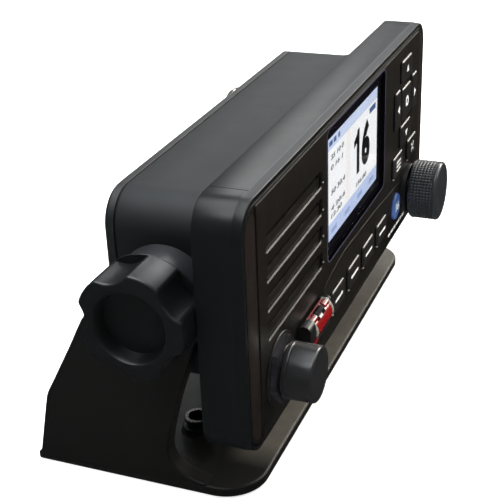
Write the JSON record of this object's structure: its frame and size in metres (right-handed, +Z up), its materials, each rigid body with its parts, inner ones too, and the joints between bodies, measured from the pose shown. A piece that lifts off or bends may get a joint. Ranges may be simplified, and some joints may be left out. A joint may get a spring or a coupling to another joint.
{
  "type": "fixed-mount marine radio",
  "caption": "Fixed-mount marine radio with a display, keys, a dial and a speaker in a flanged front, tilting in a U bracket with two hand knobs.",
  "frame": {"origin": "centre of the four mounting holes, on the underside of the bracket", "axes": "+X to the right seen from the front, along the radio's width; +Y to the back; +Z up, out of the mounting surface"},
  "size_m": [0.1944, 0.0838, 0.0913],
  "materials": {
    "bracket_plastic": "matte, fine moulded grain",
    "ferrule_steel": "turned steel",
    "case_plastic": "matte, fine moulded grain",
    "rear_metal": "matte black paint over a casting",
    "plate_plastic": "satin",
    "key_plastic": "satin",
    "blue_plastic": "satin translucent blue",
    "red_plastic": "glossy",
    "lens_glass": "clear",
    "picture": "lit display",
    "module_metal": "plain sheet",
    "mesh_fabric": "fine black gauze",
    "cone_paper": "matte",
    "silicone": "matte",
    "circuit_board": "solder mask",
    "knob_plastic": "matte moulded",
    "cap_rubber": "matte",
    "dark_metal": "black plated",
    "screw_steel": "stainless",
    "insert_brass": "turned",
    "nickel": "nickel plated",
    "white_insulator": "white"
  },
  "bodies": {
    "bracket": {"mounting_bracket": "bracket_plastic", "bracket_ferrules": "ferrule_steel"},
    "radio": {"front_bezel": "case_plastic", "chassis_shell": "case_plastic", "rear_cover": "rear_metal", "front_plate": "plate_plastic", "dial_collar": "plate_plastic", "distress_hinge": "plate_plastic", "display_lens": "lens_glass", "display_panel": "picture", "lcd_module": "module_metal", "speaker_frame": "module_metal", "encoder_body": "module_metal", "power_module": "module_metal", "grille_mesh": "mesh_fabric", "speaker_cone": "cone_paper", "keypad_mat": "silicone", "front_gasket": "silicone", "rear_gasket": "silicone", "friction_washers": "silicone", "front_board": "circuit_board", "main_board": "circuit_board", "power_gland": "cap_rubber", "data_gland": "cap_rubber", "mic_socket": "dark_metal", "mic_nut": "dark_metal", "mic_washer": "dark_metal", "bezel_screws": "screw_steel", "case_screws": "screw_steel", "distress_pin": "screw_steel", "distress_spring": "screw_steel", "antenna_screws": "screw_steel", "knob_inserts": "insert_brass", "antenna_contact": "insert_brass", "antenna_socket": "nickel", "antenna_insulator": "white_insulator"},
    "left_knob": {"left_knob_grip": "knob_plastic", "left_knob_bolt": "screw_steel", "left_knob_washer": "screw_steel"},
    "right_knob": {"right_knob_grip": "knob_plastic", "right_knob_bolt": "screw_steel", "right_knob_washer": "screw_steel"},
    "dial_push": {"encoder_plunger": "white_insulator"},
    "dial": {"tuning_dial": "knob_plastic", "dial_shaft": "screw_steel"},
    "mic_cap": {"mic_cap": "cap_rubber"},
    "distress_cover": {"distress_cover": "red_plastic"},
    "distress_key": {"distress_key": "red_plastic"},
    "channel_key": {"channel_key": "blue_plastic"},
    "up_key": {"up_key": "key_plastic"},
    "down_key": {"down_key": "key_plastic"},
    "left_key": {"left_key": "key_plastic"},
    "right_key": {"right_key": "key_plastic"},
    "enter_key": {"enter_key": "key_plastic"},
    "menu_key": {"menu_key": "key_plastic"},
    "clear_key": {"clear_key": "key_plastic"},
    "soft_key_1": {"soft_key_1": "key_plastic"},
    "soft_key_2": {"soft_key_2": "key_plastic"},
    "soft_key_3": {"soft_key_3": "key_plastic"},
    "soft_key_4": {"soft_key_4": "key_plastic"}
  },
  "joints": [
    {"name": "tilt", "type": "hinge", "parent": "bracket", "child": "radio", "pos_m": [0, -0.0164, 0.0594], "axis": [1, 0, 0], "range_deg": [-18, 18]},
    {"name": "left_knob_turn", "type": "hinge", "parent": "radio", "child": "left_knob", "pos_m": [-0.09, -0.0164, 0.0594], "axis": [-1, 0, 0], "continuous": true},
    {"name": "right_knob_turn", "type": "hinge", "parent": "radio", "child": "right_knob", "pos_m": [0.09, -0.0164, 0.0594], "axis": [1, 0, 0], "continuous": true},
    {"name": "dial_press", "type": "slide", "parent": "radio", "child": "dial_push", "axis": [0, 1, 0], "range_m": [0, 0.0005], "stiffness_N_per_m": 1500, "springref_m": -0.0003},
    {"name": "dial_turn", "type": "hinge", "parent": "dial_push", "child": "dial", "pos_m": [0.0666, -0.05, 0.0345], "axis": [0, -1, 0], "continuous": true},
    {"name": "mic_cap_pull", "type": "slide", "parent": "radio", "child": "mic_cap", "axis": [0, -1, 0], "range_m": [0, 0.014]},
    {"name": "distress_lift", "type": "hinge", "parent": "radio", "child": "distress_cover", "pos_m": [-0.042, -0.0465, 0.0399], "axis": [1, 0, 0], "range_deg": [-100, 0], "stiffness_Nm_per_rad": 0.002, "springref_deg": 17.19},
    {"name": "distress_press", "type": "slide", "parent": "radio", "child": "distress_key", "axis": [0, 1, 0], "range_m": [0, 0.0008], "stiffness_N_per_m": 1000, "springref_m": -0.0004},
    {"name": "channel_press", "type": "slide", "parent": "radio", "child": "channel_key", "axis": [0, 1, 0], "range_m": [0, 0.0008], "stiffness_N_per_m": 1000, "springref_m": -0.0004},
    {"name": "up_press", "type": "slide", "parent": "radio", "child": "up_key", "axis": [0, 1, 0], "range_m": [0, 0.0008], "stiffness_N_per_m": 1000, "springref_m": -0.0004},
    {"name": "down_press", "type": "slide", "parent": "radio", "child": "down_key", "axis": [0, 1, 0], "range_m": [0, 0.0008], "stiffness_N_per_m": 1000, "springref_m": -0.0004},
    {"name": "left_press", "type": "slide", "parent": "radio", "child": "left_key", "axis": [0, 1, 0], "range_m": [0, 0.0008], "stiffness_N_per_m": 1000, "springref_m": -0.0004},
    {"name": "right_press", "type": "slide", "parent": "radio", "child": "right_key", "axis": [0, 1, 0], "range_m": [0, 0.0008], "stiffness_N_per_m": 1000, "springref_m": -0.0004},
    {"name": "enter_press", "type": "slide", "parent": "radio", "child": "enter_key", "axis": [0, 1, 0], "range_m": [0, 0.0008], "stiffness_N_per_m": 1000, "springref_m": -0.0004},
    {"name": "menu_press", "type": "slide", "parent": "radio", "child": "menu_key", "axis": [0, 1, 0], "range_m": [0, 0.0008], "stiffness_N_per_m": 1000, "springref_m": -0.0004},
    {"name": "clear_press", "type": "slide", "parent": "radio", "child": "clear_key", "axis": [0, 1, 0], "range_m": [0, 0.0008], "stiffness_N_per_m": 1000, "springref_m": -0.0004},
    {"name": "soft_1_press", "type": "slide", "parent": "radio", "child": "soft_key_1", "axis": [0, 1, 0], "range_m": [0, 0.0008], "stiffness_N_per_m": 1000, "springref_m": -0.0004},
    {"name": "soft_2_press", "type": "slide", "parent": "radio", "child": "soft_key_2", "axis": [0, 1, 0], "range_m": [0, 0.0008], "stiffness_N_per_m": 1000, "springref_m": -0.0004},
    {"name": "soft_3_press", "type": "slide", "parent": "radio", "child": "soft_key_3", "axis": [0, 1, 0], "range_m": [0, 0.0008], "stiffness_N_per_m": 1000, "springref_m": -0.0004},
    {"name": "soft_4_press", "type": "slide", "parent": "radio", "child": "soft_key_4", "axis": [0, 1, 0], "range_m": [0, 0.0008], "stiffness_N_per_m": 1000, "springref_m": -0.0004}
  ]
}
